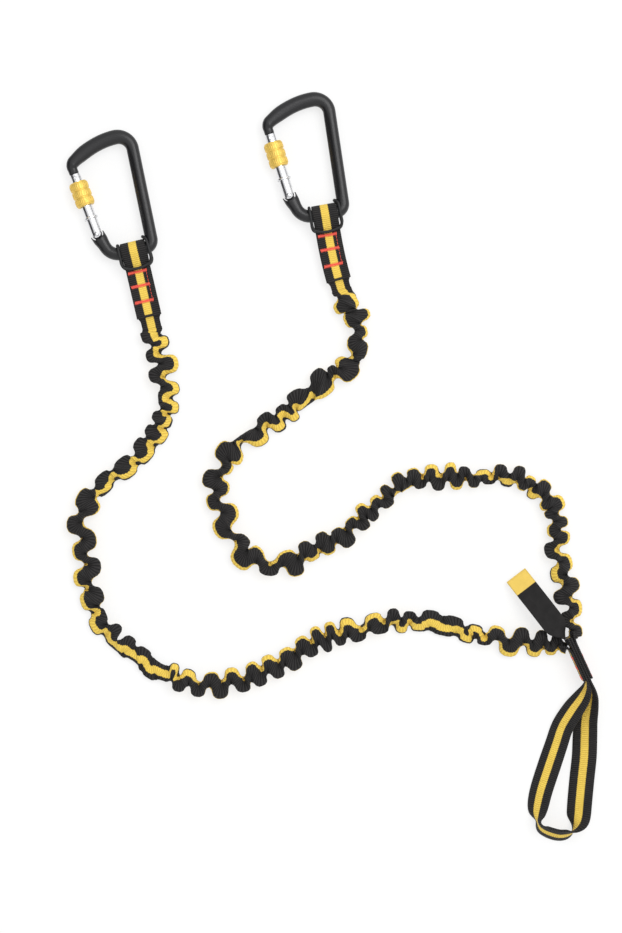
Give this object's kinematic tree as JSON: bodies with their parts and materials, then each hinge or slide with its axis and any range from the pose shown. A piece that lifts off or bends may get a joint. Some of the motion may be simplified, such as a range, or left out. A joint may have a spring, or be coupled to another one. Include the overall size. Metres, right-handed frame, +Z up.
{
  "type": "via ferrata lanyard",
  "caption": "Elastic tether with gathered webbing arms from a sewn loop, each ending in a webbing eye with a screw gate carabiner, laid flat",
  "frame": {"origin": "underside of the attachment loop's ply, midway along the sewn junction, on the surface that the lanyard lies on", "axes": "+Z up from the surface, +Y from the junction towards the carabiners' end of the layout, +X to the right of it"},
  "size_m": [0.3399, 0.4814, 0.0179],
  "materials": {
    "black_anodised": "satin black anodised aluminium rod",
    "bright_steel": "bright polished steel or aluminium tube and pins",
    "gold_anodised": "gold anodised, knurled in three bands",
    "spring_steel": "plain spring steel",
    "black_webbing": "ribbed black nylon webbing with a yellow centre stripe",
    "red_thread": "dense red bar tack stitching",
    "black_rubber": "smooth black rubber ring",
    "elastic": "pale covered elastic",
    "label_tape": "woven tape, yellow at its folded end and black towards the seam"
  },
  "bodies": {
    "lanyard": {"harness_loop": "black_webbing", "label": "label_tape", "left_eye_webbing": "black_webbing", "left_eye_bar_tacks": "red_thread", "left_keeper_ring": "black_rubber", "left_arm_sheath": "black_webbing", "left_arm_elastic_core": "elastic", "left_arm_sewn_end": "black_webbing", "left_junction_bar_tacks": "red_thread", "right_eye_webbing": "black_webbing", "right_eye_bar_tacks": "red_thread", "right_keeper_ring": "black_rubber", "right_arm_sheath": "black_webbing", "right_arm_elastic_core": "elastic", "right_arm_sewn_end": "black_webbing", "right_junction_bar_tacks": "red_thread"},
    "left_carabiner": {"left_carabiner_frame": "black_anodised", "left_gate_rivet": "bright_steel"},
    "left_gate_unit": {"left_gate": "bright_steel", "left_latch_pin": "bright_steel", "left_gate_spring": "spring_steel", "left_sleeve_stop_ring": "bright_steel"},
    "left_sleeve": {"left_lock_sleeve": "gold_anodised"},
    "left_follower": {"left_spring_follower": "spring_steel"},
    "right_carabiner": {"right_carabiner_frame": "black_anodised", "right_gate_rivet": "bright_steel"},
    "right_gate_unit": {"right_gate": "bright_steel", "right_latch_pin": "bright_steel", "right_gate_spring": "spring_steel", "right_sleeve_stop_ring": "bright_steel"},
    "right_sleeve": {"right_lock_sleeve": "gold_anodised"},
    "right_follower": {"right_spring_follower": "spring_steel"}
  },
  "joints": [
    {"name": "left_carabiner_swing", "type": "hinge", "parent": "lanyard", "child": "left_carabiner", "pos_m": [-0.2835, 0.2618, 0.0062], "axis": [0.974, 0.2267, 0], "range_deg": [0, 150], "deforming": ["left_keeper_ring"]},
    {"name": "left_gate_hinge", "type": "hinge", "parent": "left_carabiner", "child": "left_gate_unit", "pos_m": [-0.30706, 0.27226, 0.0062], "axis": [0, 0, -1], "range_deg": [0, 25], "stiffness_Nm_per_rad": 0.15, "springref_deg": -34.38},
    {"name": "left_sleeve_travel", "type": "slide", "parent": "left_gate_unit", "child": "left_sleeve", "axis": [0.3535, -0.9354, 0], "range_m": [-0.0077, 0.0072]},
    {"name": "left_follower_travel", "type": "slide", "parent": "left_gate_unit", "child": "left_follower", "axis": [-0.3535, 0.9354, 0], "range_m": [0, 0.0013], "deforming": ["left_gate_spring"]},
    {"name": "right_carabiner_swing", "type": "hinge", "parent": "lanyard", "child": "right_carabiner", "pos_m": [-0.1613, 0.2854, 0.0062], "axis": [0.9851, 0.1719, 0], "range_deg": [0, 150], "deforming": ["right_keeper_ring"]},
    {"name": "right_gate_hinge", "type": "hinge", "parent": "right_carabiner", "child": "right_gate_unit", "pos_m": [-0.18424, 0.29716, 0.0062], "axis": [0, 0, -1], "range_deg": [0, 25], "stiffness_Nm_per_rad": 0.15, "springref_deg": -34.38},
    {"name": "right_sleeve_travel", "type": "slide", "parent": "right_gate_unit", "child": "right_sleeve", "axis": [0.3007, -0.9537, 0], "range_m": [-0.0077, 0.0072]},
    {"name": "right_follower_travel", "type": "slide", "parent": "right_gate_unit", "child": "right_follower", "axis": [-0.3007, 0.9537, 0], "range_m": [0, 0.0013], "deforming": ["right_gate_spring"]}
  ],
  "couplings": [
    {"joint": "left_follower_travel", "follows": "left_gate_hinge", "m_per_rad": 0.0027},
    {"joint": "right_follower_travel", "follows": "right_gate_hinge", "m_per_rad": 0.0027}
  ]
}
